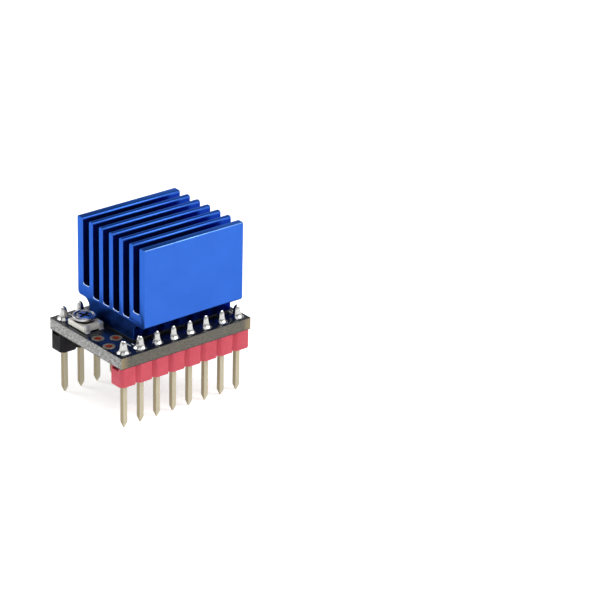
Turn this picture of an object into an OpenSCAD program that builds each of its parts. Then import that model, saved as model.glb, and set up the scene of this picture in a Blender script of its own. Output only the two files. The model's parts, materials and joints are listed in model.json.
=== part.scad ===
// Plug-in stepper driver carrier: a small board with a finned heatsink and a trimmer on top,
// and two strips of pins below.
// Millimetres, +Z up. The origin is the centre of the pin grid, at the level of the pin tips.
// X runs along the board, with the trimmer at -X. The red strip is at -Y and the black strip at +Y.

/* [Pin strips] */
// Distance from one pin to the next
pitch = 2.54; // [2.5:0.02:2.6]
// Number of pins in each strip
pins = 8; // [8:1:10]
// Distance between the two rows of pins
row_spacing = 12.7; // [12.7:0.1:13.2]
// Thickness of a square pin
pin_w = 0.64; // [0.5:0.02:0.7]
// Free length of a pin below its strip
pin_below = 6.1; // [4:0.1:9]
// Height of a pin's end above the board
pin_above = 1.62; // [1.3:0.02:2]
// Length of the rounded point at each end of a pin
pin_point = 0.75; // [0.4:0.05:0.9]
// Height of a strip's moulding
strip_h = 2.54; // [2:0.1:3]
// Corner cut of each moulded pin unit
strip_cut = 0.42; // [0.2:0.02:0.6]
// Width of the groove along the top of a strip
groove_w = 1.3; // [1:0.1:1.6]
// Depth of the groove along the top of a strip
groove_d = 0.4; // [0.2:0.1:0.8]

/* [Board] */
// Board thickness
board_t = 1.6; // [1:0.1:2]
// Diameter of a pin's hole in the board
pin_hole_d = 1.02; // [0.98:0.02:1.1]
// Diameter of a test hole
test_hole_d = 1; // [0.6:0.1:1.2]
// Outside diameter of a test hole's ring
test_ring_d = 1.6; // [1.4:0.1:1.9]
// Thickness of the rings round a test hole
ring_t = 0.05; // [0.04:0.01:0.08]
// Width of a printed mark
mark_w = 0.16; // [0.1:0.02:0.2]

/* [Solder joints] */
// Diameter of a joint where it meets the board
joint_base_d = 1.8; // [1.4:0.05:1.9]
// Diameter of a joint's neck
joint_neck_d = 0.96; // [0.94:0.02:1.1]
// Height of a joint
joint_h = 1.2; // [0.9:0.05:1.25]

/* [Heatsink] */
// Heatsink length, along the board
sink_l = 15.34; // [13:0.1:15.6]
// Heatsink width, across the fins
sink_w = 14.2; // [13.8:0.1:15]
// Distance from the board's centre to the heatsink's centre
sink_x = 1.52; // [1.4:0.02:1.8]
// Width of the heatsink's foot
foot_w = 9.4; // [8:0.1:9.6]
// Height of the heatsink above its tape
sink_h = 12.92; // [9:0.1:16]
// Thickness of the two outer fins
outer_fin = 1.17; // [0.9:0.01:1.3]
// Width of the gaps between fins
gap_w = 1.31; // [1.1:0.01:1.35]
// Height of the outer fins' underside above the tape
skirt_h = 2.21; // [1.8:0.1:2.4]
// Height of the two outer gaps' floors above the tape
outer_floor = 3.95; // [3.4:0.05:4.5]
// Height of the inner gaps' floors above the tape
inner_floor = 2.78; // [2:0.05:3.2]
// Radius of the hollow between foot and skirt
cove_r = 1.1; // [0.6:0.1:1.3]
// Thickness of the thermal tape
tape_t = 0.27; // [0.15:0.01:0.5]

/* [Trimmer] */
// Trimmer centre along the board
trimmer_x = -8.12; // [-8.2:0.02:-8.1]
// Trimmer centre across the board
trimmer_y = 2.7; // [2.5:0.05:2.8]
// Width of the trimmer's base
base_w = 2.96; // [2.8:0.02:3]
// Length of the trimmer's base
base_l = 3.5; // [3.4:0.05:3.6]
// Height of the base's top above the board
base_top = 0.85; // [0.8:0.01:0.9]
// Diameter of the rotor
rotor_d = 3.12; // [2.6:0.02:3.14]
// Distance from the base's centre to the rotor's centre
rotor_off = 0.25; // [0.1:0.05:0.3]
// Height of the rotor's underside above the board
rotor_z = 1.18; // [1.1:0.02:1.3]
// Radius of the well in the base's top
well_r = 1.3; // [1.2:0.02:1.34]
// Width of the screwdriver slots
slot_w = 0.44; // [0.3:0.02:0.5]
// Length of the screwdriver slots
slot_l = 1.7; // [1.2:0.1:1.9]

/* [Driver chip] */
// Side of the square chip package
chip_w = 5; // [4:0.5:5]
// Height of the chip package
chip_h = 0.85; // [0.7:0.05:1]
// Number of leads along each side of the chip
chip_side_leads = 7; // [5:1:8]
// Distance from one lead to the next
chip_pitch = 0.5; // [0.4:0.05:0.5]

/* [Hidden] */
$fn = 48;
eps = 0.5;

strip_l = pins * pitch;
board_l = strip_l;
board_w = row_spacing + pitch;
row_y = row_spacing / 2;
strip_z = pin_below;
board_z = strip_z + strip_h;
top_z = board_z + board_t;
pin_r = pin_w / 2;
point_end = 0.36;
point_shares = [0, 0.12, 0.35, 0.65, 1];
joint_hollow = 2.6;
joint_shares = [0, 0.08, 0.18, 0.3, 0.45, 0.65, 1];

sink_half = sink_w / 2;
fin_gaps = 6;
inner_fin = (sink_w - 2 * outer_fin - fin_gaps * gap_w) / (fin_gaps - 1);
fin_step = gap_w + inner_fin;
fin_chamfer = 0.25;
floor_r = 0.28;
skirt_r = 0.5;
tape_margin = 0.1;

test_holes = [[-9.25, -3.8], [-9, -1.15], [-7.1, -2.35]];
mark_l = 0.8;
near_marks = [[-7.05, -4.95], [-6.55, -4.95], [9.05, -5], [9.5, -5]];
mark_off = 0.35;
far_marks = [for (i = [0, 1]) [pin_x(i) + pitch / 2, row_y + mark_off]];
mark_t = 0.02;

metal_t = 0.12;
tab_w = 0.6;
tab_off = 1.05;
tab_foot = 0.3;
tab_grip = 0.35;
wiper_tab_w = 0.9;
wiper_tab_reach = 1.2;
rotor_x = trimmer_x;
rotor_y = trimmer_y + rotor_off;
rotor_r = rotor_d / 2;
rotor_t = 0.33;
rotor_rim_w = 0.3;
rotor_rim_h = 0.06;
rotor_edge = 0.08;
rim_edge = 0.06;
hub_r = 1.05;
ring_d = 0.12;
slot_d = 0.24;
slot_turn = 20;
rivet_r = 0.4;
rivet_bore_r = 0.45;
rivet_head_r = 0.6;
rivet_head_z = 0.17;
rivet_head_t = 0.13;
recess_r = 0.72;
recess_top = 0.36;
well_z = 0.65;
track_r = 1;
track_w = 0.34;
track_t = 0.02;
track_gap_angle = 70;
wiper_t = 0.06;
wiper_arm_w = 0.34;
wiper_gap = 0.08;
wiper_z = well_z + track_t + wiper_gap;
collar_r = 0.6;

chip_x = sink_x;
chip_gap = 0.03;
lead_w = 0.24;
lead_l = 0.45;
lead_t = 0.2;
lead_out = 0.06;
chip_pad_w = 3.2;

// Chip components under the board: [x, y, turn, length, width, height]
sense_parts = [[-0.3, -3.76, 0, 3.2, 1.6, 0.6], [3.5, -3.76, 0, 3.2, 1.6, 0.6]];
capacitor_parts = [[6.4, -0.1, 90, 2, 1.25, 1.1], [3.4, 3.8, 0, 2, 1.25, 1.1], [-2.9, 1.2, 90, 2, 1.25, 1.1]];
resistor_parts = [
    [-0.2, 3.7, 0, 1.6, 0.8, 0.45],
    [-5.2, -2.9, 0, 1.6, 0.8, 0.45],
    [-5.2, -1.4, 0, 1.6, 0.8, 0.45],
    [-5.2, 2.6, 90, 1.6, 0.8, 0.45],
    [8.4, 1.8, 90, 1.6, 0.8, 0.45]
];
cap_share = 0.2;
cap_proud = 0.03;

power = "power_pin_";
logic = "logic_pin_";
power_solder = "power_solder_";
logic_solder = "logic_solder_";
test_pad_name = "test_pad_";
sense_name = "sense_resistor_";
capacitor_name = "capacitor_";

// The name of one of a row of equal nodes, counted from 1
function numbered(name, i) = str(name, i + 1);
function names(name, count) = [for (i = [0 : count - 1]) numbered(name, i)];
function pin_x(i) = (i - (pins - 1) / 2) * pitch;

// ---- Pins, strips and solder ----

// Half thickness of a pin at a distance from its end, along a rounded point
function point_r(d) = pin_r * (point_end + (1 - point_end) * sqrt(1 - pow(1 - d / pin_point, 2)));
function point_steps() = [for (s = point_shares) s * pin_point];

// Side view of a pin, from its tip at zero to its top
module pin_side() {
    top = top_z + pin_above;
    right = concat(
        [for (d = point_steps()) [point_r(d), d]],
        [for (d = point_steps()) [point_r(pin_point - d), top - pin_point + d]]
    );
    count = len(right);
    polygon(concat(right, [for (i = [1 : count]) [-right[count - i].x, right[count - i].y]]));
}

// A square pin with a four-sided rounded point at each end
module pin() {
    intersection() {
        rotate([90, 0, 0]) linear_extrude(pin_w + eps, center = true) pin_side();
        rotate([90, 0, 90]) linear_extrude(pin_w + eps, center = true) pin_side();
    }
}

// The square shaft that a pin fills, without its points
module pin_shaft(z, h) {
    translate([-pin_r, -pin_r, z]) cube([pin_w, pin_w, h]);
}

// Outline of one moulded pin unit: a square with cut corners
module strip_unit() {
    a = pitch / 2;
    b = a - strip_cut;
    polygon([[-a, -b], [-b, -a], [b, -a], [a, -b], [a, b], [b, a], [-b, a], [-a, b]]);
}

module strip(y) {
    difference() {
        translate([0, y, strip_z]) linear_extrude(strip_h)
            for (i = [0 : pins - 1]) translate([pin_x(i), 0]) strip_unit();
        translate([-board_l / 2 - eps, y - groove_w / 2, board_z - groove_d])
            cube([board_l + 2 * eps, groove_w, groove_d + eps]);
        for (i = [0 : pins - 1]) translate([pin_x(i), y, 0]) pin_shaft(strip_z - eps, strip_h + 2 * eps);
    }
}

module red_header() {
    color("#c8485a") strip(-row_y);
}

module black_header() {
    color("#26262a") strip(row_y);
}

module power_pin(i) {
    color("#cfc69c") translate([pin_x(i), -row_y, 0]) pin();
}

module logic_pin(i) {
    color("#cfc69c") translate([pin_x(i), row_y, 0]) pin();
}

// Radius of a solder joint at a share of its height: wide at the board, with a hollow flank
function joint_r(s) = (joint_neck_d + (joint_base_d - joint_neck_d) * pow(1 - s, joint_hollow)) / 2;

// Solder around a pin: a hollow-sided cone on the board, and the filling of the pin's hole
module solder() {
    flank = [for (s = joint_shares) [joint_r(s), s * joint_h]];
    difference() {
        translate([0, 0, top_z]) rotate_extrude()
            polygon(concat(
                [[0, -board_t], [pin_hole_d / 2, -board_t], [pin_hole_d / 2, 0]],
                flank,
                [[0, joint_h]]
            ));
        pin();
    }
}

module power_solder_joint(i) {
    color("#d9dade") translate([pin_x(i), -row_y, 0]) solder();
}

module logic_solder_joint(i) {
    color("#d9dade") translate([pin_x(i), row_y, 0]) solder();
}

// ---- Board ----

module board() {
    color("#15181f") difference() {
        translate([-board_l / 2, -board_w / 2, board_z]) cube([board_l, board_w, board_t]);
        for (i = [0 : pins - 1], y = [-row_y, row_y])
            translate([pin_x(i), y, board_z - eps]) cylinder(h = board_t + 2 * eps, d = pin_hole_d);
        for (p = test_holes)
            translate([p.x, p.y, board_z - eps]) cylinder(h = board_t + 2 * eps, d = test_hole_d);
    }
}

// Copper rings round a test hole, one on each face of the board
module test_pad(i) {
    color("#b87b52") translate([test_holes[i].x, test_holes[i].y, board_z])
        for (z = [-ring_t, board_t]) translate([0, 0, z]) difference() {
            cylinder(h = ring_t, d = test_ring_d);
            translate([0, 0, -eps]) cylinder(h = ring_t + 2 * eps, d = test_hole_d);
        }
}

// Short printed strokes beside the end pins
module printed_marks() {
    color("#e8ebf0") for (p = concat(near_marks, far_marks))
        translate([p.x - mark_w / 2, p.y - mark_l / 2, top_z]) cube([mark_w, mark_l, mark_t]);
}

// ---- Heatsink ----

module thermal_tape() {
    color("#121216") translate([sink_x, 0, top_z + tape_t / 2])
        cube([sink_l - 2 * tape_margin, foot_w - 2 * tape_margin, tape_t], center = true);
}

// Gap between two fins, centred on zero, with small rounded corners at its floor
module fin_gap(floor_z) {
    half = gap_w / 2;
    translate([-half, floor_z + floor_r]) square([gap_w, sink_h]);
    translate([-half + floor_r, floor_z]) square([gap_w - 2 * floor_r, sink_h]);
    for (s = [-1, 1]) translate([s * (half - floor_r), floor_z + floor_r]) circle(floor_r);
}

// Outer shape before the gaps are cut: rounded lower corners, foot and hollows
module sink_body() {
    difference() {
        union() {
            translate([-sink_half, skirt_h + skirt_r]) square([sink_w, sink_h - skirt_h - skirt_r]);
            translate([-sink_half + skirt_r, 0]) square([sink_w - 2 * skirt_r, sink_h]);
            for (s = [-1, 1]) translate([s * (sink_half - skirt_r), skirt_h + skirt_r]) circle(skirt_r);
        }
        for (s = [0, 1]) mirror([s, 0]) {
            translate([foot_w / 2, -eps]) square([sink_w, skirt_h - cove_r + eps]);
            translate([foot_w / 2 + cove_r, -eps]) square([sink_w, skirt_h + eps]);
            translate([foot_w / 2 + cove_r, skirt_h - cove_r]) circle(cove_r);
        }
    }
}

// Both upper edges of every fin
function fin_edges() = concat(
    [for (g = [0 : fin_gaps - 1], s = [-1, 1]) (g - (fin_gaps - 1) / 2) * fin_step + s * gap_w / 2],
    [-sink_half, sink_half]
);

module sink_profile() {
    difference() {
        sink_body();
        for (g = [0 : fin_gaps - 1])
            translate([(g - (fin_gaps - 1) / 2) * fin_step, 0])
                fin_gap(g == 0 || g == fin_gaps - 1 ? outer_floor : inner_floor);
        for (y = fin_edges()) translate([y, sink_h]) rotate(45) square(fin_chamfer * sqrt(2), center = true);
    }
}

module heatsink() {
    color("#2f66d8") translate([sink_x - sink_l / 2, 0, top_z + tape_t])
        rotate([90, 0, 90]) linear_extrude(sink_l) sink_profile();
}

// ---- Trimmer ----

module at_trimmer() {
    translate([trimmer_x, trimmer_y, top_z]) children();
}

module at_rotor() {
    translate([rotor_x, rotor_y, top_z]) children();
}

// Moulded base with a round well for the track, a bore for the rivet, and a recess below for the rivet's head
module trimmer_base() {
    color("#d8d6cc") difference() {
        at_trimmer() translate([-base_w / 2, -base_l / 2, metal_t])
            cube([base_w, base_l, base_top - metal_t]);
        at_rotor() translate([0, 0, well_z]) cylinder(h = base_top, r = well_r);
        at_rotor() cylinder(h = base_top + eps, r = rivet_bore_r);
        at_rotor() translate([0, 0, -eps]) cylinder(h = recess_top + eps, r = recess_r);
    }
}

// Bent strip seen from the side: a foot, a riser against the base, and a fold over its top
module tab_side(reach) {
    polygon([
        [-tab_foot, 0], [reach, 0], [reach, metal_t], [0, metal_t],
        [0, base_top], [tab_grip, base_top], [tab_grip, base_top + metal_t],
        [-metal_t, base_top + metal_t], [-metal_t, metal_t], [-tab_foot, metal_t]
    ]);
}

module tab(x, width, reach) {
    translate([x - width / 2, -base_l / 2, 0]) rotate([90, 0, 90]) linear_extrude(width) tab_side(reach);
}

module trimmer_end_tab_1() {
    color("#cfd0d2") at_trimmer() tab(-tab_off, tab_w, tab_w);
}

module trimmer_end_tab_2() {
    color("#cfd0d2") at_trimmer() tab(tab_off, tab_w, tab_w);
}

module trimmer_wiper_tab() {
    color("#cfd0d2") at_trimmer() mirror([0, 1, 0]) tab(0, wiper_tab_w, wiper_tab_reach);
}

// Open ring of resistive film on the well's floor, with its gap towards the wiper tab
module trimmer_track() {
    start = 90 + track_gap_angle / 2;
    color("#1b1b1d") at_rotor() translate([0, 0, well_z]) rotate([0, 0, start])
        rotate_extrude(angle = 360 - track_gap_angle)
            translate([track_r - track_w / 2, 0]) square([track_w, track_t]);
}

// Metal dish: raised rim, shallow ring, and a hub with a cross slot
module trimmer_rotor() {
    top = rotor_z + rotor_t;
    rim_top = top + rotor_rim_h;
    rim_in = rotor_r - rotor_rim_w;
    color("#aab0ba") difference() {
        at_rotor() rotate_extrude() polygon([[0, rotor_z], [rotor_r - rotor_edge, rotor_z],
            [rotor_r, rotor_z + rotor_edge], [rotor_r, rim_top - rotor_edge], [rotor_r - rotor_edge, rim_top],
            [rim_in + rim_edge, rim_top], [rim_in, rim_top - rim_edge], [rim_in, top - ring_d],
            [hub_r + rotor_edge, top - ring_d], [hub_r, top], [0, top]]);
        at_rotor() for (a = [0, 90]) rotate([0, 0, a + slot_turn])
            translate([-slot_l / 2, -slot_w / 2, top - slot_d]) cube([slot_l, slot_w, slot_d + eps]);
    }
}

// Stem through the base with a staked head below, both turning with the rotor
module trimmer_rivet() {
    color("#c9b27c") at_rotor() rotate_extrude()
        polygon([[0, rivet_head_z], [rivet_head_r, rivet_head_z], [rivet_head_r, rivet_head_z + rivet_head_t],
            [rivet_r, rivet_head_z + rivet_head_t], [rivet_r, rotor_z], [0, rotor_z]]);
}

// Spring collar round the stem with one arm that reaches over the track
module trimmer_wiper() {
    reach = track_r + track_w / 2;
    collar_h = rotor_z - wiper_z;
    color("#c9b27c") at_rotor() translate([0, 0, wiper_z]) difference() {
        union() {
            cylinder(h = collar_h, r = collar_r);
            translate([-wiper_arm_w / 2, -reach, 0]) cube([wiper_arm_w, reach, wiper_t]);
        }
        translate([0, 0, -eps]) cylinder(h = collar_h + 2 * eps, r = rivet_r);
    }
}

// ---- Parts under the board ----

// Places a shape so that its zero height is the board's underside and up is away from the board
module under(x, y, turn = 0) {
    translate([x, y, board_z]) mirror([0, 0, 1]) rotate([0, 0, turn]) children();
}

module chip_lead_places() {
    first = -(chip_side_leads - 1) / 2 * chip_pitch;
    for (side = [0 : 3], i = [0 : chip_side_leads - 1])
        rotate([0, 0, side * 90])
            translate([first + i * chip_pitch, chip_w / 2 + lead_out - lead_l, 0]) children();
}

module chip_leads() {
    chip_lead_places() translate([-lead_w / 2, 0, 0]) cube([lead_w, lead_l, lead_t]);
}

module driver_chip() {
    color("#1d1d20") under(chip_x, 0) difference() {
        translate([-chip_w / 2, -chip_w / 2, chip_gap]) cube([chip_w, chip_w, chip_h]);
        chip_leads();
    }
}

module driver_chip_leads() {
    color("#c6c7ca") under(chip_x, 0) chip_leads();
}

module driver_chip_pad() {
    color("#c6c7ca") under(chip_x, 0)
        translate([-chip_pad_w / 2, -chip_pad_w / 2, 0]) cube([chip_pad_w, chip_pad_w, chip_gap]);
}

// Body of a chip component, between its end caps
module component_body(p) {
    body_l = p[3] * (1 - 2 * cap_share);
    under(p.x, p.y, p[2]) translate([-body_l / 2, -p[4] / 2, cap_proud]) cube([body_l, p[4], p[5]]);
}

// The two end caps of a chip component, slightly larger than its body
module component_caps(p) {
    cap_l = p[3] * cap_share;
    cap_w = p[4] + 2 * cap_proud;
    for (s = [0, 1]) under(p.x, p.y, p[2] + 180 * s)
        translate([p[3] / 2 - cap_l, -cap_w / 2, 0]) cube([cap_l, cap_w, p[5] + 2 * cap_proud]);
}

module sense_resistor(i) {
    color("#1a1a1c") component_body(sense_parts[i]);
}

module capacitor(i) {
    color("#b08d66") component_body(capacitor_parts[i]);
}

module chip_resistors() {
    color("#1a1a1c") for (p = resistor_parts) component_body(p);
}

module component_end_caps() {
    color("#d0d1d4") for (p = concat(sense_parts, capacitor_parts, resistor_parts)) component_caps(p);
}

board();
printed_marks();
thermal_tape();
heatsink();
red_header();
black_header();
trimmer_base();
trimmer_end_tab_1();
trimmer_end_tab_2();
trimmer_wiper_tab();
trimmer_track();
trimmer_rotor();
trimmer_rivet();
trimmer_wiper();
driver_chip();
driver_chip_leads();
driver_chip_pad();
chip_resistors();
component_end_caps();
for (i = [0 : len(test_holes) - 1]) test_pad(i);
for (i = [0 : len(sense_parts) - 1]) sense_resistor(i);
for (i = [0 : len(capacitor_parts) - 1])
    capacitor(i);
for (i = [0 : pins - 1]) power_pin(i);
for (i = [0 : pins - 1]) logic_pin(i);
for (i = [0 : pins - 1]) power_solder_joint(i);
for (i = [0 : pins - 1]) logic_solder_joint(i);
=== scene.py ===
import json
import math
import random

import bmesh
import bpy
from mathutils import Matrix, Vector

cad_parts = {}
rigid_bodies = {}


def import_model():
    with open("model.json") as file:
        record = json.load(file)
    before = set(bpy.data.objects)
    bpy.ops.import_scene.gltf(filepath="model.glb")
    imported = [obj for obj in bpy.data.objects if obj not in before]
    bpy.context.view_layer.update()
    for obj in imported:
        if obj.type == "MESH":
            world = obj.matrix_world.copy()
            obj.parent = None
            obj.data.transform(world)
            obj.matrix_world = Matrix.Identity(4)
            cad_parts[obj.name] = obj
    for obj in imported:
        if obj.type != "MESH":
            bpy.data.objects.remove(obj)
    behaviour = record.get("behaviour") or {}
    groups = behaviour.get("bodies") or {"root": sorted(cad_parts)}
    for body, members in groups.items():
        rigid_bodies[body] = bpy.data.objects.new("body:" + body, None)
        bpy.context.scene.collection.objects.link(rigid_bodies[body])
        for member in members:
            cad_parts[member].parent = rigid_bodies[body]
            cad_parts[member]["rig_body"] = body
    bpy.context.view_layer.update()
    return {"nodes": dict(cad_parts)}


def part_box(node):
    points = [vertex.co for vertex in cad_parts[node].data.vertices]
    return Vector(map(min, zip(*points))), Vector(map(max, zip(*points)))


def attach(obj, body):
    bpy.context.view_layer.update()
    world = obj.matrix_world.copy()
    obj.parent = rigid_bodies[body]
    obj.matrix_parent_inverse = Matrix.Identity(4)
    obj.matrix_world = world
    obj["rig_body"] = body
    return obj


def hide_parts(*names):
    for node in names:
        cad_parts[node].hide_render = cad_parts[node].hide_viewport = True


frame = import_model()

# A plug-in stepper driver carrier. Lengths are in millimetres, or in metres where a name ends in _m.
# +Z is up.
# The board lies flat: its trimmer end is at -X, the red pin strip at -Y and the black one at +Y.
MM = 0.001


def corners(node):
    """Lowest and highest corner of a CAD node, in millimetres."""
    low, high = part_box(node)
    return low / MM, high / MM


def middle(node):
    """Middle of a CAD node's box, in millimetres."""
    low, high = corners(node)
    return (low + high) / 2


BOARD_LOW, BOARD_HIGH = corners("board")
SINK_LOW, SINK_HIGH = corners("heatsink")
TRIM_LOW, TRIM_HIGH = corners("trimmer_base")
ROTOR_LOW, ROTOR_HIGH = corners("trimmer_rotor")
BOARD_TOP = BOARD_HIGH.z
BOARD_UNDER = BOARD_LOW.z
PIN_LOW, PIN_HIGH = corners("power_pin_1")
PIN_HALF = (PIN_HIGH.x - PIN_LOW.x) / 2
PIN_TOP = PIN_HIGH.z
PINS = sum(name.startswith("power_pin_") for name in frame["nodes"])
PIN_HOLE_R = 0.51
TEST_HOLES = [middle(f"test_pad_{k}") for k in (1, 2, 3)]
TEST_HOLE_R = 0.5


# ---- Meshes ----

SMOOTH_DEG = 35
SAME_POINT = 0.0005
FLAT_DEG = 1


def finish_mesh(name, bm, smooth_deg=SMOOTH_DEG):
    """Turns a bmesh in millimetres into an object in metres, smooth where its faces meet gently."""
    bmesh.ops.recalc_face_normals(bm, faces=bm.faces)
    bmesh.ops.scale(bm, vec=(MM, MM, MM), verts=bm.verts)
    mesh = bpy.data.meshes.new(name)
    bm.to_mesh(mesh)
    bm.free()
    piece = bpy.data.objects.new(name, mesh)
    bpy.context.scene.collection.objects.link(piece)
    smooth(piece, smooth_deg)
    return piece


def smooth(piece, degrees):
    piece.data.shade_smooth()
    piece.data.set_sharp_from_angle(angle=math.radians(degrees))


def apply_modifiers(piece):
    """Replaces a piece's mesh by what its modifiers make of it."""
    bpy.context.view_layer.update()
    evaluated = piece.evaluated_get(bpy.context.evaluated_depsgraph_get())
    made = bpy.data.meshes.new_from_object(evaluated)
    piece.modifiers.clear()
    piece.data = made


def bevel(piece, width, segments=2, angle=38, smooth_deg=SMOOTH_DEG):
    """Rounds every edge sharper than the angle."""
    m = piece.modifiers.new("bevel", "BEVEL")
    m.width = width * MM
    m.segments = segments
    m.limit_method = "ANGLE"
    m.angle_limit = math.radians(angle)
    m.miter_outer = "MITER_ARC"
    apply_modifiers(piece)
    smooth(piece, smooth_deg)


def cut(piece, cutter):
    """Takes the cutter's volume out of the piece."""
    m = piece.modifiers.new("cut", "BOOLEAN")
    m.object = cutter
    m.operation = "DIFFERENCE"
    m.solver = "EXACT"
    apply_modifiers(piece)
    bpy.data.objects.remove(cutter)


def show(piece, node, *materials):
    """The piece stands for a CAD node: it rides on the same body, hides the node and takes the materials
    given.
    """
    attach(piece, frame["nodes"][node]["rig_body"])
    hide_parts(node)
    if materials:
        piece.data.materials.clear()
        for m in materials:
            piece.data.materials.append(m)
    return piece


def refined(node, width, *materials, segments=2):
    """A copy of a CAD node with its edges rounded."""
    bm = bmesh.new()
    bm.from_mesh(frame["nodes"][node].data)
    bmesh.ops.remove_doubles(bm, verts=bm.verts, dist=SAME_POINT * MM)
    bmesh.ops.dissolve_limit(bm, angle_limit=math.radians(FLAT_DEG), verts=bm.verts, edges=bm.edges)
    bmesh.ops.scale(bm, vec=(1 / MM, 1 / MM, 1 / MM), verts=bm.verts)
    piece = finish_mesh(node + "_piece", bm)
    bevel(piece, width, segments)
    return show(piece, node, *materials)


def rounded(corner_list, steps=5):
    """A closed outline with each corner (a, b, radius) rounded by an arc."""
    out = []
    count = len(corner_list)
    for i, (a, b, radius) in enumerate(corner_list):
        here = Vector((a, b))
        if radius <= 0:
            out.append(here)
            continue
        back = (Vector(corner_list[i - 1][:2]) - here).normalized()
        ahead = (Vector(corner_list[(i + 1) % count][:2]) - here).normalized()
        half = back.angle(ahead) / 2
        centre = here + (back + ahead).normalized() * (radius / math.sin(half))
        start = here + back * (radius / math.tan(half)) - centre
        end = here + ahead * (radius / math.tan(half)) - centre
        turn = start.angle_signed(end)
        for k in range(steps + 1):
            out.append(centre + Matrix.Rotation(-turn * k / steps, 2) @ start)
    return out


def prism(name, outline, low, high, place):
    """An outline extruded from low to high; place(a, b, h) gives each point's position."""
    bm = bmesh.new()
    rings = [[bm.verts.new(place(p.x, p.y, h)) for p in outline] for h in (low, high)]
    count = len(outline)
    for i in range(count):
        j = (i + 1) % count
        bm.faces.new((rings[0][i], rings[0][j], rings[1][j], rings[1][i]))
    bm.faces.new(rings[0])
    bm.faces.new(rings[1])
    return finish_mesh(name, bm)


def along_x(a, b, h):
    return Vector((h, a, b))


def along_z(a, b, h):
    return Vector((a, b, h))


def loft(name, rings, smooth_deg=SMOOTH_DEG):
    """A closed skin through rings of equally many points, with a flat cap at each end."""
    bm = bmesh.new()
    made = [[bm.verts.new(p) for p in ring] for ring in rings]
    for low, high in zip(made, made[1:]):
        for i in range(len(low)):
            j = (i + 1) % len(low)
            bm.faces.new((low[i], low[j], high[j], high[i]))
    bm.faces.new(made[0])
    bm.faces.new(made[-1])
    return finish_mesh(name, bm, smooth_deg)


def on_circle(centre, radius, turn, z):
    """A point on a level circle."""
    return Vector((centre[0] + radius * math.cos(turn), centre[1] + radius * math.sin(turn), z))


def lathe(name, profile, centre, steps=64, closed=False):
    """Turns (radius, height) points about a vertical axis. A closed profile makes a ring."""
    bm = bmesh.new()
    turns = [math.tau * k / steps for k in range(steps)]
    rings = [[bm.verts.new(on_circle(centre, radius, t, z)) for t in turns] for radius, z in profile]
    pairs = list(zip(rings, rings[1:])) + ([(rings[-1], rings[0])] if closed else [])
    for low, high in pairs:
        for i in range(steps):
            j = (i + 1) % steps
            bm.faces.new((low[i], low[j], high[j], high[i]))
    if not closed:
        bm.faces.new(rings[0])
        bm.faces.new(rings[-1])
    return finish_mesh(name, bm)


def join(name, pieces):
    """One object from several."""
    bm = bmesh.new()
    for p in pieces:
        bm.from_mesh(p.data)
        bpy.data.objects.remove(p)
    mesh = bpy.data.meshes.new(name)
    bm.to_mesh(mesh)
    bm.free()
    made = bpy.data.objects.new(name, mesh)
    bpy.context.scene.collection.objects.link(made)
    smooth(made, SMOOTH_DEG)
    return made


def block(name, low, high):
    """A box between two corners."""
    bm = bmesh.new()
    bmesh.ops.create_cube(bm, size=1)
    size = Vector(high) - Vector(low)
    bmesh.ops.scale(bm, vec=size, verts=bm.verts)
    bmesh.ops.translate(bm, vec=(Vector(high) + Vector(low)) / 2, verts=bm.verts)
    return finish_mesh(name, bm)


# ---- Materials ----

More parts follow.
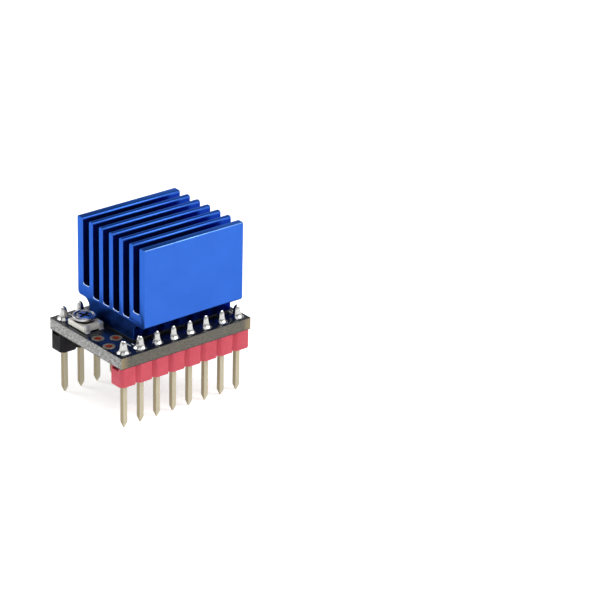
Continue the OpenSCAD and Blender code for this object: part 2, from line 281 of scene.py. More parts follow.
class Finish:
    """A procedural material. Its textures are placed in millimetres of the piece's own space."""

    def __init__(self, name, **values):
        self.material = bpy.data.materials.new(name)
        self.material.use_nodes = True
        self.tree = self.material.node_tree
        self.shader = self.tree.nodes["Principled BSDF"]
        for socket, value in values.items():
            self.shader.inputs[socket.replace("_", " ")].default_value = value
        self.height = None

    def node(self, kind, links=(), **settings):
        made = self.tree.nodes.new(kind)
        for key, value in settings.items():
            setattr(made, key, value)
        for socket, source in links:
            if isinstance(source, bpy.types.NodeSocket):
                self.tree.links.new(source, made.inputs[socket])
            else:
                made.inputs[socket].default_value = source
        return made

    def place(self, stretch=(1, 1, 1)):
        """Position on the piece in millimetres, stretched along each axis."""
        source = self.node("ShaderNodeTexCoord").outputs["Object"]
        scale = tuple(1 / (MM * s) for s in stretch)
        return self.node("ShaderNodeMapping", [("Vector", source), ("Scale", scale)]).outputs["Vector"]

    def noise(self, size, detail=3, rough=0.55, stretch=(1, 1, 1)):
        """Noise with features about so many millimetres across."""
        links = [
            ("Vector", self.place(stretch)), ("Scale", 1 / size),
            ("Detail", detail), ("Roughness", rough),
        ]
        return self.node("ShaderNodeTexNoise", links).outputs["Fac"]

    def cells(self, size):
        """Distance from the middle of the nearest of many cells of about this size."""
        links = [("Vector", self.place()), ("Scale", 1 / size)]
        return self.node("ShaderNodeTexVoronoi", links).outputs["Distance"]

    def along(self, axis):
        """Position on the piece along X, Y or Z, in millimetres."""
        return self.node("ShaderNodeSeparateXYZ", [("Vector", self.place())]).outputs[axis]

    def sum_of(self, a, b):
        return self.node("ShaderNodeMath", [(0, a), (1, b)], operation="ADD").outputs[0]

    def size_of(self, value):
        """The value without its sign."""
        return self.node("ShaderNodeMath", [(0, value)], operation="ABSOLUTE").outputs[0]

    def spread(self, value, low, high, in_low=0.3, in_high=0.7):
        """Maps the value's range to low and high, and holds it there beyond both ends."""
        links = [
            ("Value", value), ("From Min", in_low), ("From Max", in_high),
            ("To Min", low), ("To Max", high),
        ]
        return self.node("ShaderNodeMapRange", links).outputs["Result"]

    def ramp(self, value, *stops):
        """Colours along a value; stops are (position, (r, g, b))."""
        made = self.node("ShaderNodeValToRGB", [("Fac", value)])
        elements = made.color_ramp.elements
        while len(elements) < len(stops):
            elements.new(0.5)
        for element, (position, colour) in zip(elements, stops):
            element.position = position
            element.color = (*colour, 1)
        return made.outputs["Color"]

    def blend(self, factor, a, b):
        """Colour a where the factor is 0, and b where it is 1."""
        links = [(0, factor), (6, a), (7, b)]
        return self.node("ShaderNodeMix", links, data_type="RGBA").outputs[2]

    def drive(self, socket, source):
        """Feeds one of the shader's sockets from a texture."""
        self.tree.links.new(source, self.shader.inputs[socket])
        return self

    def bump(self, height, depth):
        """Raises the surface by up to depth millimetres where height is high; calls stack."""
        links = [("Height", height), ("Distance", depth * MM)]
        if self.height:
            links.append(("Normal", self.height))
        self.height = self.node("ShaderNodeBump", links).outputs["Normal"]
        self.tree.links.new(self.height, self.shader.inputs["Normal"])
        return self


DYED = {"Metallic": 0.95, "Specular_Tint": (0.45, 0.6, 1.0, 1.0)}
SATIN = (0.30, 0.36)


def anodised_blue():
    """Blue dyed aluminium, faintly clouded."""
    f = Finish("anodised_blue", **DYED)
    cloud = f.noise(3.0, 3)
    f.drive("Base Color", f.ramp(cloud, (0.3, (0.030, 0.115, 0.50)), (0.7, (0.034, 0.127, 0.545))))
    return anodised_skin(f, *SATIN)


def anodised_skin(f, smoothest=0.20, roughest=0.28):
    """Satin of etched and dyed aluminium, with the drawing marks of the extrusion along X."""
    grain = f.noise(0.09, 4, stretch=(6, 1, 1))
    f.drive("Roughness", f.spread(grain, smoothest, roughest))
    f.bump(grain, 0.0025)
    f.bump(f.noise(0.5, 2, stretch=(14, 1, 1)), 0.004)
    return f.material


def channel_painted_shade():
    """Painted shade between the fins and under the skirt: dark blue, darkest at the bottom."""
    f = Finish("channel_painted_shade", Metallic=0.95, Specular_Tint=(0.05, 0.1, 0.5, 1.0))
    deep = SINK_LOW.z + 2
    mottle = f.spread(f.noise(0.8, 3), -0.06, 0.06)
    level = f.sum_of(f.spread(f.along("Z"), 0.0, 1.0, deep, SINK_HIGH.z), mottle)
    stops = ((0.0, (0.004, 0.014, 0.13)), (0.7, (0.006, 0.022, 0.20)), (1.0, (0.010, 0.035, 0.28)))
    f.drive("Base Color", f.ramp(level, *stops))
    return anodised_skin(f)


def end_painted_reflection():
    """Sawn end of the extrusion, with a painted reflection of the dark board below: darker towards its foot,
    where it is darkest.
    """
    f = Finish("end_painted_reflection", **DYED)
    darkest, plain = SINK_LOW.z + 0.8, SINK_LOW.z + 4.6
    mottle = f.spread(f.noise(1.2, 3), -0.05, 0.05)
    level = f.sum_of(f.spread(f.along("Z"), 0.0, 1.0, darkest, plain), mottle)
    stops = ((0.0, (0.010, 0.032, 0.165)), (0.45, (0.018, 0.065, 0.32)), (1.0, (0.030, 0.118, 0.52)))
    f.drive("Base Color", f.ramp(level, *stops))
    return anodised_skin(f, *SATIN)


def floor_edge_painted_highlight():
    """Painted highlight along the end edge of a channel's floor: pale blue metal."""
    f = Finish("floor_edge_painted_highlight", Metallic=1.0)
    f.drive("Base Color", f.ramp(f.noise(0.3, 3), (0.3, (0.45, 0.62, 0.95)), (0.7, (0.65, 0.78, 1.0))))
    return anodised_skin(f)


def top_edge_painted_highlight():
    """Painted highlight on the outer top edges, a little paler than the faces."""
    f = Finish("top_edge_painted_highlight", Metallic=0.9)
    speckle = f.noise(0.4, 4, stretch=(5, 1, 1))
    f.drive("Base Color", f.ramp(speckle, (0.3, (0.10, 0.28, 0.82)), (0.7, (0.22, 0.44, 0.95))))
    return anodised_skin(f, 0.3, 0.4)


def moulded(name, dark, light, rough=(0.42, 0.55), size=0.25, **values):
    """Moulded plastic: fine texture, faint flow clouds."""
    f = Finish(name, **values)
    f.drive("Base Color", f.ramp(f.noise(1.6, 4), (0.3, dark), (0.7, light)))
    grain = f.noise(size, 4)
    f.drive("Roughness", f.spread(grain, *rough))
    f.bump(grain, 0.006)
    f.bump(f.noise(0.05, 2), 0.003)
    return f.material


def plated(name, dark, light, rough, size=0.3, dent=0.008, metal=1.0):
    """Bright plated metal with small waves and rub marks."""
    f = Finish(name, Metallic=metal)
    f.drive("Base Color", f.ramp(f.noise(size * 3, 3), (0.35, dark), (0.65, light)))
    wave = f.noise(size, 3)
    f.drive("Roughness", f.spread(wave, *rough))
    f.bump(wave, dent)
    return f.material


def pin_metal(name, dark, light, rough):
    """Champagne flash along the pin, tinned where the solder has wetted it above the board."""
    f = Finish(name, Metallic=0.4)
    streak = f.noise(0.25, 3, stretch=(1, 1, 12))
    gold = f.ramp(streak, (0.3, dark), (0.7, light))
    fade, tin = 0.1, (0.82, 0.82, 0.83, 1)
    tinned = f.spread(f.along("Z"), 0.0, 1.0, BOARD_TOP - fade, BOARD_TOP + fade)
    f.drive("Base Color", f.blend(tinned, gold, tin))
    f.drive("Roughness", f.spread(streak, *rough))
    f.bump(streak, 0.0008)
    return f.material


def solder_metal():
    """Freshly frozen tin: almost a mirror, with faint swells and a fine frost."""
    f = Finish("bright_solder", Metallic=1.0)
    f.drive("Base Color", f.ramp(f.noise(0.5, 3), (0.3, (0.45, 0.45, 0.445)), (0.7, (0.56, 0.56, 0.55))))
    wave = f.noise(0.5, 2)
    f.drive("Roughness", f.spread(wave, 0.14, 0.24))
    f.bump(wave, 0.006)
    f.bump(f.cells(0.10), 0.0008)
    return f.material


def solder_mask():
    """Glossy black coating over faint copper texture."""
    f = Finish("black_mask", IOR=1.5)
    f.drive("Base Color", f.ramp(f.noise(2.5, 3), (0.3, (0.004, 0.006, 0.012)), (0.7, (0.008, 0.011, 0.020))))
    ripple = f.noise(0.6, 3)
    f.drive("Roughness", f.spread(ripple, 0.10, 0.20))
    f.bump(ripple, 0.008)
    f.bump(f.noise(0.12, 2), 0.0015)
    return f.material


def cut_fibre(name, resin, fibre, speck, run, corner=0.0):
    """Sawn edge of the glass-fibre board: pale fibres in resin, mask torn along both rims, tan corners."""
    f = Finish(name)
    tan, mask = (0.30, 0.235, 0.12, 1), (0.012, 0.012, 0.013, 1)
    bundle = f.noise(0.2, 6, 0.75, stretch=run)
    between = tuple((a + b) / 2 for a, b in zip(resin, fibre))
    base = f.ramp(bundle, (0.38, resin), (0.5, between), (0.62, fibre))
    dust = f.noise(0.10, 3, 0.7)
    if corner:
        end = BOARD_HIGH.x
        near_end = f.spread(f.size_of(f.along("X")), 0.0, corner, end - 1.3, end - 0.2)
        base = f.blend(near_end, base, tan)
    base = f.blend(f.spread(dust, 0.0, 0.6, 0.56, 0.72), base, (*speck, 1))
    half = (BOARD_TOP - BOARD_UNDER) / 2
    off = f.size_of(f.sum_of(f.along("Z"), half - BOARD_TOP))
    ragged = f.sum_of(off, f.spread(dust, -0.05, 0.05))
    torn = f.spread(ragged, 0.0, 1.0, half - 0.11, half - 0.06)
    f.drive("Base Color", f.blend(torn, base, mask))
    f.drive("Roughness", f.spread(dust, 0.65, 0.9))
    f.bump(bundle, 0.04)
    f.bump(dust, 0.02)
    return f.material


def tape_film():
    """Matt black film of the thermal tape."""
    f = Finish("tape_film")
    weave = f.noise(0.15, 4)
    f.drive("Base Color", f.ramp(weave, (0.3, (0.006, 0.006, 0.008)), (0.7, (0.014, 0.014, 0.018))))
    f.drive("Roughness", f.spread(weave, 0.6, 0.8))
    f.bump(weave, 0.01)
    return f.material


def printed_ink():
    """White ink, a little blotted."""
    f = Finish("printed_ink")
    blot = f.noise(0.08, 3)
    f.drive("Base Color", f.ramp(blot, (0.3, (0.55, 0.60, 0.68)), (0.6, (0.82, 0.85, 0.90))))
    f.drive("Roughness", f.spread(blot, 0.4, 0.6))
    f.bump(blot, 0.004)
    return f.material


BLUE = anodised_blue()
CHANNEL_SHADE = channel_painted_shade()
END_PAINTED_REFLECTION = end_painted_reflection()
FLOOR_EDGE_HIGHLIGHT = floor_edge_painted_highlight()
TOP_EDGE_HIGHLIGHT = top_edge_painted_highlight()
RED_PLASTIC = moulded("red_moulding", (0.47, 0.046, 0.072), (0.53, 0.058, 0.088), Specular_IOR_Level=0.35)
BLACK_PLASTIC = moulded("black_moulding", (0.006, 0.006, 0.008), (0.012, 0.012, 0.014),
                        Specular_IOR_Level=0.12)
CREAM = moulded("cream_moulding", (0.66, 0.64, 0.57), (0.82, 0.80, 0.73), rough=(0.5, 0.7))
CHIP = moulded("chip_moulding", (0.012, 0.012, 0.013), (0.024, 0.024, 0.026), rough=(0.5, 0.65), size=0.1)
CERAMIC = moulded("fired_ceramic", (0.33, 0.20, 0.11), (0.44, 0.29, 0.17), rough=(0.35, 0.5), size=0.15)
RESISTOR = moulded("resistor_glaze", (0.010, 0.010, 0.011), (0.022, 0.022, 0.024),
                   rough=(0.2, 0.35), size=0.3)
SHADOWED_SLOT = moulded("slot_shadow", (0.006, 0.006, 0.008), (0.02, 0.02, 0.022), rough=(0.4, 0.6), size=0.08)
# Black of the carbon track, also used as painted shade in the trimmer's well.
CARBON_AND_WELL_SHADE = moulded("carbon_film_and_well_shade", (0.010, 0.010, 0.010), (0.03, 0.03, 0.03), rough=(0.5, 0.7), size=0.08)
# The pins' ±X faces take a darker copy of the pin metal as painted shade.
PIN_PLAIN_FACE = pin_metal("pin_plain_face", (0.425, 0.39, 0.27), (0.46, 0.42, 0.30), (0.28, 0.38))
PIN_SHADED_SIDE = pin_metal("pin_side_painted_shade", (0.28, 0.235, 0.135), (0.33, 0.275, 0.165), (0.38, 0.50))
SOLDER = solder_metal()
MASK = solder_mask()
FIBRE_END = cut_fibre("cut_fibre_end", resin=(0.085, 0.084, 0.08), fibre=(0.47, 0.47, 0.46),
                      speck=(0.70, 0.69, 0.66), run=(1, 1.8, 1))
FIBRE_SIDE = cut_fibre("cut_fibre_side", resin=(0.06, 0.056, 0.044), fibre=(0.13, 0.122, 0.10),
                       speck=(0.24, 0.21, 0.14), run=(2.2, 1, 1), corner=0.75)
TAPE = tape_film()
INK = printed_ink()
TIN = plated("bright_tin", (0.66, 0.66, 0.65), (0.82, 0.82, 0.80), (0.28, 0.42), size=0.2, metal=0.6)
NICKEL = plated("bright_nickel", (0.32, 0.32, 0.33), (0.50, 0.50, 0.50), (0.16, 0.28), size=0.4, dent=0.004)
BRASS = plated("spring_brass", (0.55, 0.42, 0.18), (0.72, 0.58, 0.28), (0.2, 0.35))
COPPER = plated("hole_copper", (0.50, 0.12, 0.06), (0.75, 0.25, 0.14), (0.4, 0.6), size=0.15)
RING = plated("ring_plating", (0.20, 0.165, 0.105), (0.38, 0.33, 0.24), (0.4, 0.55), size=0.2, metal=0.55)


# ---- Board ----

def pin_places():
    """(strip, number, x, y) of every pin, counted from 1."""
    for strip in ("power", "logic"):
        for number in range(1, PINS + 1):
            place = middle(f"{strip}_pin_{number}")
            yield strip, number, place.x, place.y


def make_board():
    """Board with rounded rims and round holes: mask on its faces, bare fibre at its edges, copper inside."""
    rim, rim_depth, beyond = 0.05, 0.02, 1
    board = block("circuit_board", BOARD_LOW, BOARD_HIGH)
    bevel(board, rim)
    holes = [(p.x, p.y, TEST_HOLE_R) for p in TEST_HOLES]
    holes += [(x, y, PIN_HOLE_R) for _, _, x, y in pin_places()]
    low, high = BOARD_UNDER - beyond, BOARD_TOP + beyond
    cut(board, join("drills", [lathe("drill", [(r, low), (r, high)], (x, y), 48) for x, y, r in holes]))
    show(board, "board", MASK, FIBRE_END, FIBRE_SIDE, COPPER)
    mask, fibre_end, fibre_side, copper = range(4)
    level = 0.35
    for face in board.data.polygons:
        n, c = face.normal, face.center / MM
        at_rim = abs(c.x) >= BOARD_HIGH.x - rim_depth or abs(c.y) >= BOARD_HIGH.y - rim_depth
        if abs(n.z) > level:
            face.material_index = mask
        elif not at_rim:
            face.material_index = copper
        else:
            face.material_index = fibre_end if abs(n.x) > abs(n.y) else fibre_side
    smooth(board, 30)


def make_test_pads():
    """Rings on both faces joined by a plated barrel."""
    wall, inner, outer, lift = TEST_HOLE_R, TEST_HOLE_R - 0.04, 0.8, 0.05
    edge, near, upright = 0.02, 0.015, 0.3
    for k, place in enumerate(TEST_HOLES):
        top, under = BOARD_TOP, BOARD_UNDER
        profile = [
            (inner, under - lift + edge), (inner + edge, under - lift), (outer - edge, under - lift),
            (outer, under - lift + edge), (outer, under), (wall, under), (wall, top), (outer, top),
            (outer, top + lift - edge), (outer - edge, top + lift), (inner + edge, top + lift),
            (inner, top + lift - edge),
        ]
        pad = lathe(f"test_ring_{k + 1}", profile, place, 56, closed=True)
        show(pad, f"test_pad_{k + 1}", RING, COPPER)
        for face in pad.data.polygons:
            inside = (face.center.xy / MM - place.xy).length < inner + near
            face.material_index = 1 if inside and abs(face.normal.z) < upright else 0


def track(points, face_z, up):
    """Low rounded ridges along a path on one face of the board."""
    half, tall, sunk = 0.13, 0.02, 0.01
    strips = []
    for a, b in zip(points, points[1:]):
        ahead = (b - a).normalized()
        side = Vector((-ahead.y, ahead.x)) * half
        a0, b0 = a - ahead * half, b + ahead * half
        outline = rounded([(*(p), half) for p in (a0 - side, b0 - side, b0 + side, a0 + side)], 4)
        strips.append(prism("strip", outline, face_z - up * sunk, face_z + up * tall, along_z))
    return strips


def make_tracks():
    """Copper tracks that show through the mask, with a covered via where each one dives into the board."""
    jog, via_tall, step = 0.4, 0.03, 0.01
    via_r, crest_r, dimple_r = 0.24, 0.2, 0.1
    strips = []
    for strip, number, x, y in pin_places():
        inward = 1 if y < 0 else -1
        sideways = 1 if number % 2 else -1
        top = (BOARD_TOP, 1, 0.95, 0.5)
        under = (BOARD_UNDER, -1, 1.55, 0.55 + 0.25 * (number % 3))
        under_trimmer = strip == "logic" and number == 1
        for face_z, up, start, reach in ([under] if under_trimmer else [top, under]):
            a = Vector((x, y + inward * start))
            b = a + Vector((0, inward * reach))
            c = b + Vector((jog * sideways, inward * jog))
            strips += track([a, b, c], face_z, up)
            via = [
                (via_r, face_z), (via_r, face_z + up * (via_tall - step)),
                (crest_r, face_z + up * via_tall), (dimple_r, face_z + up * step),
            ]
            strips.append(lathe("via", via, c, 24))
    tracks = join("mask_tracks", strips)
    tracks.data.materials.append(MASK)
    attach(tracks, frame["nodes"]["board"]["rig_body"])


def make_marks():
    """Short printed strokes with round ends."""
    low, high = corners("printed_marks")
    roundness = 0.98
    bm = bmesh.new()
    bm.from_mesh(frame["nodes"]["printed_marks"].data)
    bmesh.ops.remove_doubles(bm, verts=bm.verts, dist=SAME_POINT * MM)
    strokes = []
    seen = set()
    for start in bm.verts:
        if start in seen:
            continue
        island, queue = [], [start]
        seen.add(start)
        while queue:
            v = queue.pop()
            island.append(v.co / MM)
            for e in v.link_edges:
                other = e.other_vert(v)
                if other not in seen:
                    seen.add(other)
                    queue.append(other)
        xs, ys = [p.x for p in island], [p.y for p in island]
        left, right, near, far = min(xs), max(xs), min(ys), max(ys)
        r = (right - left) / 2 * roundness
        outline = rounded([(left, near, r), (right, near, r), (right, far, r), (left, far, r)])
        strokes.append(prism("stroke", outline, low.z, high.z, along_z))
    bm.free()
    show(join("printed_strokes", strokes), "printed_marks", INK)


# ---- Heatsink ----

def sink_corners():
    """Corners (y, z, radius) of half the extrusion, from its foot round to the middle fin's top."""
    foot, width, top, under = 4.7, SINK_HIGH.y, SINK_HIGH.z, SINK_LOW.z
    skirt = under + 2.21
    foot_r, cove_r, skirt_r, rim_r, crown_r, floor_r = 0.12, 1.1, 0.5, 0.14, 0.3, 0.28
    outer_fin, gap, gaps = 1.17, 1.31, 6
    inner_fin = (2 * width - 2 * outer_fin - gaps * gap) / (gaps - 1)
    out = [(foot, under, foot_r), (foot, skirt, cove_r), (width, skirt, skirt_r), (width, top, rim_r)]
    y = width - outer_fin
    for floor in (3.95, 2.78, 2.78):
        out += [
            (y, top, crown_r), (y, under + floor, floor_r),
            (y - gap, under + floor, floor_r), (y - gap, top, crown_r),
        ]
        y -= gap + inner_fin
    return out


def make_heatsink():
    """Extrusion with rounded fins. Its skin is plain blue; the channels and the skirt's underside carry
    painted shade, the ends a painted reflection of the dark board, and the channels' floor edges and the
    outer top edges painted highlights.
    """
    half = sink_corners()
    outline = rounded(half + [(-y, z, r) for y, z, r in reversed(half)], 6)
    sink = prism("finned_heatsink", outline, SINK_LOW.x, SINK_HIGH.x, along_x)
    bevel(sink, 0.09, angle=60)
    show(sink, "heatsink", BLUE, CHANNEL_SHADE, FLOOR_EDGE_HIGHLIGHT, END_PAINTED_REFLECTION, TOP_EDGE_HIGHLIGHT)
    _, channel, floor_highlight, end, top_highlight = range(5)
    rim, skin, crown = 0.14, 0.05, 0.3
    for face in sink.data.polygons:
        n, c = face.normal, face.center / MM
        inward, down = SINK_HIGH.y - abs(c.y), SINK_HIGH.z - c.z
        # End faces: painted reflection of the dark board, darkest towards the foot.
        if abs(n.x) > 0.97:
            face.material_index = end
        # Rounded outer top edges: painted highlight.
        elif inward < rim and down < rim and 0.3 < n.z < 0.95:
            face.material_index = top_highlight
        elif inward < skin or down < crown:
            continue
        # Channel walls and floors, the foot's sides and the skirt's underside: painted shade.
        elif abs(n.x) < 0.3:
            face.material_index = channel
        # Upward bevels at the ends of the channels' floors: painted highlight.
        elif n.z > 0.25:
            face.material_index = floor_highlight


# ---- Pins and solder ----

def square_ring(x, y, z, half, radius, per_corner=4):
    """Points round a square of rounded corners."""
    ring = []
    for k, (sx, sy) in enumerate(((1, 1), (-1, 1), (-1, -1), (1, -1))):
        for i in range(per_corner):
            t = math.pi / 2 * (k + i / (per_corner - 1))
            ring.append(Vector((x + sx * (half - radius) + radius * math.cos(t),
                                y + sy * (half - radius) + radius * math.sin(t), z)))
    return ring


def point_width(d, length):
    """Half width of a pin at a distance from its end, along a slightly curved taper."""
    end, curve = 0.26, 0.72
    return PIN_HALF * (end + (1 - end) * min(1.0, d / length) ** curve)


def make_pins():
    """Square wire with soft edges and a four-sided point at each end: the two ±X faces painted darker as
    shade, the other two plain.
    """
    length, edge, tilt = 0.75, 0.03, 0.1
    steps = [length * s for s in (0.0, 0.03, 0.1, 0.2, 0.35, 0.55, 0.78, 1.0)]
    for strip, number, x, y in pin_places():
        low = [(d, point_width(d, length)) for d in steps]
        high = [(PIN_TOP - d, w) for d, w in reversed(low)]
        rings = []
        for z, half in low + high:
            radius = min(edge + (PIN_HALF - half) * 0.9, half * 0.95)
            rings.append(square_ring(x, y, z, half, radius))
        node = f"{strip}_pin_{number}"
        wire = show(loft(f"{node}_wire", rings, 30), node, PIN_PLAIN_FACE, PIN_SHADED_SIDE)
        for face in wire.data.polygons:
            # Faces turned towards ±X: painted shade.
            face.material_index = 1 if abs(face.normal.x) > abs(face.normal.y) + tilt else 0


def make_solder():
    """Bells of solder, each a little different: a flared foot, a skin up the pin and a dome on top."""
    rng = random.Random(7)
    sides, plug_r, plug_gap, cover = 48, 0.5, 0.02, 0.035
    skin_t, skin_corner = 0.4, 1.1
    valley_width, valley_mid, valley_tall = 0.25, 0.55, 0.3
    height = PIN_TOP + cover - BOARD_TOP
    dome_from = 0.85
    shares = (0, 0.012, 0.035, 0.07, 0.11, 0.16, 0.22, 0.29, 0.37, 0.46, 0.55,
              0.63, 0.7, 0.76, 0.82, 0.87, 0.915, 0.95, 0.975, 0.99, 1.0)
    steps = [height * s for s in shares]
    turns = [math.tau * k / sides for k in range(sides)]
    for strip, number, x, y in pin_places():
        lean = Vector((rng.uniform(-0.012, 0.012), rng.uniform(-0.012, 0.012)))
        foot, decay = rng.uniform(0.43, 0.48), rng.uniform(0.27, 0.33)
        lobe, lobe_at = rng.uniform(0.03, 0.08), rng.uniform(0, math.tau)
        dent, dent_at = rng.uniform(0.02, 0.045), math.radians(-127 + rng.uniform(-25, 25))
        rings = []
        for z in steps:
            flare = foot * math.exp(-z / decay)
            dome = math.sqrt(max(0.0, 1 - max(0.0, (z - dome_from) / (height - dome_from)) ** 2))
            dip = dent * math.exp(-((z - valley_mid) / valley_tall) ** 2)
            centre = Vector((x, y)) + lean * (z / height)
            ring = []
            for t in turns:
                corner = 1 / max(abs(math.cos(t)), abs(math.sin(t)))
                skin = skin_t * min(corner, skin_corner) * (0.1 + 0.9 * dome)
                away = math.remainder(t - dent_at, math.tau)
                valley = dip * math.exp(-(away / valley_width) ** 2)
                r = skin + flare * (1 + lobe * math.cos(2 * (t - lobe_at))) - valley
                ring.append(on_circle(centre, r, t, BOARD_TOP + z))
            rings.append(ring)
        ends = (BOARD_UNDER + plug_gap, BOARD_TOP)
        plug = [[on_circle((x, y), plug_r, t, z) for t in turns] for z in ends]
        show(loft(f"{strip}_joint_{number}", plug + rings, 50), f"{strip}_solder_{number}", SOLDER)


# ---- Trimmer ----

def make_tabs():
    """Bent terminal strips with round bends."""
    thick, foot, grip = 0.12, 0.3, 0.35
    bottom = BOARD_TOP
    fold = TRIM_HIGH.z - bottom
    for node, end, reach in (("trimmer_end_tab_1", -1, 0.6), ("trimmer_end_tab_2", -1, 0.6),
                             ("trimmer_wiper_tab", 1, 1.2)):
        low, high = corners(node)
        face = TRIM_LOW.y if end < 0 else TRIM_HIGH.y
        side = [
            (-foot, 0, 0.03), (reach, 0, 0.02), (reach, thick, 0.02), (0, thick, 0.0),
            (0, fold, 0.0), (grip, fold, 0.02), (grip, fold + thick, 0.05),
            (-thick, fold + thick, 0.1), (-thick, thick, 0.08), (-foot, thick, 0.03),
        ]
        outline = [Vector((face - end * p.x, bottom + p.y)) for p in rounded(side, 4)]
        tab = prism(node + "_strip", outline, low.x, high.x, along_x)
        bevel(tab, 0.025, angle=60)
        show(tab, node, TIN)


def make_rotor():
    """Dished metal disc with a rolled rim, a hub and a cross slot whose inside is painted dark as shadow."""
    centre = middle("trimmer_rotor")
    radius = (ROTOR_HIGH.x - ROTOR_LOW.x) / 2
    bottom, rim = ROTOR_LOW.z, ROTOR_HIGH.z
    flat, groove = rim - 0.06, rim - 0.18
    bore_r, core_r, hub_r, hub_slope, rim_w, rim_slope = 0.45, 0.3, 1.05, 0.07, 0.3, 0.04
    shade, on_axis = 0.02, 0.01
    side = rounded([
        (bore_r, bottom, 0.0), (radius, bottom, 0.1), (radius, rim, 0.12), (radius - rim_w, rim, 0.08),
        (radius - rim_w - rim_slope, groove, 0.06), (hub_r + hub_slope, groove, 0.05),
        (hub_r, flat, 0.05), (core_r, flat, 0.0)
    ], 5)
    disc = lathe("rotor_disc", [(p.x, p.y) for p in side], centre, 96)
    depth, arm, width, corner_r = 0.24, 1.7, 0.44, 0.08
    signs = ((-1, -1), (1, -1), (1, 1), (-1, 1))
    slot = rounded([(sx * arm / 2, sy * width / 2, corner_r) for sx, sy in signs], 4)
    for turn in (20, 110):
        swing = Matrix.Rotation(math.radians(turn), 2)
        outline = [swing @ p + centre.xy for p in slot]
        cut(disc, prism("arm", outline, flat - depth, flat + 1, along_z))
    bevel(disc, 0.02, 1, angle=60, smooth_deg=40)
    show(disc, "trimmer_rotor", NICKEL, SHADOWED_SLOT)
    # Faces inside the slot arms: painted shadow.
    for face in disc.data.polygons:
        c = face.center / MM
        from_axis = (c.xy - centre.xy).length
        in_slot_shadow = on_axis < from_axis < arm / 2 + shade and bottom + shade < c.z < flat - 2 * shade
        face.material_index = 1 if in_slot_shadow else 0


def make_trimmer():
    """Base with its well painted black, partly the carbon track's colour and partly painted shade under the
    rotor; its terminals, the rotor and what it holds below.
    """
    base = refined("trimmer_base", 0.05, CREAM, CARBON_AND_WELL_SHADE, segments=3)
    axis = middle("trimmer_rotor").xy
    well_r, lip = 1.31, 0.02
    for face in base.data.polygons:
        # Faces in the well: carbon black, partly painted shade under the rotor.
        c = face.center / MM
        in_shaded_well = (c.xy - axis).length < well_r and c.z < TRIM_HIGH.z - lip
        face.material_index = 1 if in_shaded_well else 0
    make_tabs()
    make_rotor()
    refined("trimmer_wiper", 0.015, BRASS)
    for node, finish in (("trimmer_rivet", BRASS), ("trimmer_track", CARBON_AND_WELL_SHADE)):
        repaint(node, finish)


def repaint(node, finish):
    """Gives a CAD node that stays in view its material."""
    data = frame["nodes"][node].data
    data.materials.clear()
    data.materials.append(finish)


# ---- Strips, tape and the parts under the board ----

def make_strips():
    refined("red_header", 0.05, RED_PLASTIC)
    refined("black_header", 0.05, BLACK_PLASTIC)


def make_chip():
    """Chip with a round pin-1 dimple in its face, its leads and the pad beneath it."""
    chip = refined("driver_chip", 0.03, CHIP)
    low, _ = corners("driver_chip")
    dimple_r, depth, inset = 0.28, 0.05, 0.75
    profile = [(dimple_r, low.z - 1), (dimple_r, low.z + depth)]
    cut(chip, lathe("dimple", profile, (low.x + inset, low.y + inset), 32))
    smooth(chip, SMOOTH_DEG)
    refined("driver_chip_leads", 0.02, TIN, segments=1)
    repaint("driver_chip_pad", TIN)


def make_components():
    """Sense resistors, capacitors and small resistors, with their tinned ends."""
    for k in (1, 2):
        refined(f"sense_resistor_{k}", 0.03, RESISTOR)
    for k in (1, 2, 3):
        refined(f"capacitor_{k}", 0.04, CERAMIC)
    refined("chip_resistors", 0.03, RESISTOR)
    refined("component_end_caps", 0.06, TIN, segments=3)


# ---- Stage ----

def make_floor():
    """Plain pale floor, just below the pins' tips. It glows a little, so that it stays pale in the shade."""
    reach, gap, glow = 6000, 0.02, 0.56
    bm = bmesh.new()
    bmesh.ops.create_grid(bm, x_segments=1, y_segments=1, size=reach)
    floor = finish_mesh("floor", bm)
    floor.location.z = -gap * MM
    f = Finish("pale_floor")
    f.drive("Base Color", f.ramp(f.noise(300, 2), (0.3, (0.93, 0.93, 0.93)), (0.7, (0.95, 0.95, 0.95))))
    f.drive("Roughness", f.spread(f.noise(40, 2), 0.7, 0.8))
    f.shader.inputs["Emission Color"].default_value = (1, 1, 1, 1)
    f.shader.inputs["Emission Strength"].default_value = glow
    floor.data.materials.append(f.material)


def soft_light(name, direction, distance_m, size_m, watts):
    """A square area light that faces the board."""
    data = bpy.data.lights.new(name, "AREA")
    data.shape = "SQUARE"
    data.size = size_m
    data.energy = watts
    lamp = bpy.data.objects.new(name, data)
    bpy.context.scene.collection.objects.link(lamp)
    target = Vector((0, 0, BOARD_TOP)) * MM
    lamp.location = target + Vector(direction).normalized() * distance_m
    lamp.rotation_euler = (target - lamp.location).to_track_quat("-Z", "Y").to_euler()


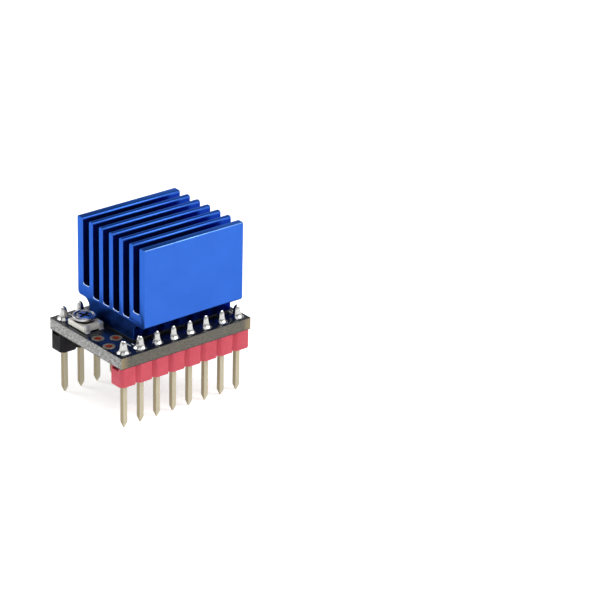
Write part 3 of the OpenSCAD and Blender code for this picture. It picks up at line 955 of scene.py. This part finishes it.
def make_world():
    """Pale surround near the horizon, dim overhead, so that bright metal has something dark to reflect."""
    world = bpy.data.worlds.new("studio")
    bpy.context.scene.world = world
    world.use_nodes = True
    tree = world.node_tree
    place = tree.nodes.new("ShaderNodeTexCoord")
    split = tree.nodes.new("ShaderNodeSeparateXYZ")
    ramp = tree.nodes.new("ShaderNodeValToRGB")
    tree.links.new(place.outputs["Generated"], split.inputs[0])
    tree.links.new(split.outputs["Z"], ramp.inputs[0])
    tree.links.new(ramp.outputs[0], tree.nodes["Background"].inputs[0])
    elements = ramp.color_ramp.elements
    greys = ((0.0, 0.96), (0.14, 0.92), (0.42, 0.34), (0.85, 0.12))
    while len(elements) < len(greys):
        elements.new(greys[1][0])
    for element, (height, grey) in zip(elements, greys):
        element.position = height
        element.color = (grey, grey, grey, 1)


def make_camera():
    """Looks down on the trimmer end and the red strip from far off, with the module left of the middle."""
    azimuth, elevation, distance = math.radians(-36.8), math.radians(24.8), 380.4
    to_left, below = 19.72, 1.43
    back = Vector((math.sin(azimuth) * math.cos(elevation), -math.cos(azimuth) * math.cos(elevation),
                   math.sin(elevation)))
    data = bpy.data.cameras.new("camera")
    data.sensor_width = 36
    data.lens = 176.5
    near_m, far_m = 0.01, 20
    data.clip_start, data.clip_end = near_m, far_m
    camera = bpy.data.objects.new("camera", data)
    bpy.context.scene.collection.objects.link(camera)
    camera.location = (Vector((0, 0, BOARD_TOP)) + back * distance) * MM
    straight = (-back).to_track_quat("-Z", "Y")
    toward = Vector((-to_left, -below, -distance)).normalized()
    camera.rotation_mode = "QUATERNION"
    camera.rotation_quaternion = straight @ toward.rotation_difference(Vector((0, 0, -1)))
    bpy.context.scene.camera = camera


make_camera()
make_world()
make_floor()
soft_light("key", (0.50, -0.55, 0.65), distance_m=0.5, size_m=0.3, watts=1.3)
soft_light("rim", (-0.42, 0.73, 0.54), distance_m=0.5, size_m=0.25, watts=0.7)
soft_light("top", (-0.25, -0.33, 0.9), distance_m=0.5, size_m=0.5, watts=0.9)
make_board()
make_tracks()
make_test_pads()
make_marks()
refined("thermal_tape", 0.04, TAPE)
make_heatsink()
make_strips()
make_pins()
make_solder()
make_trimmer()
make_chip()
make_components()
bpy.context.scene.view_settings.view_transform = "Standard"
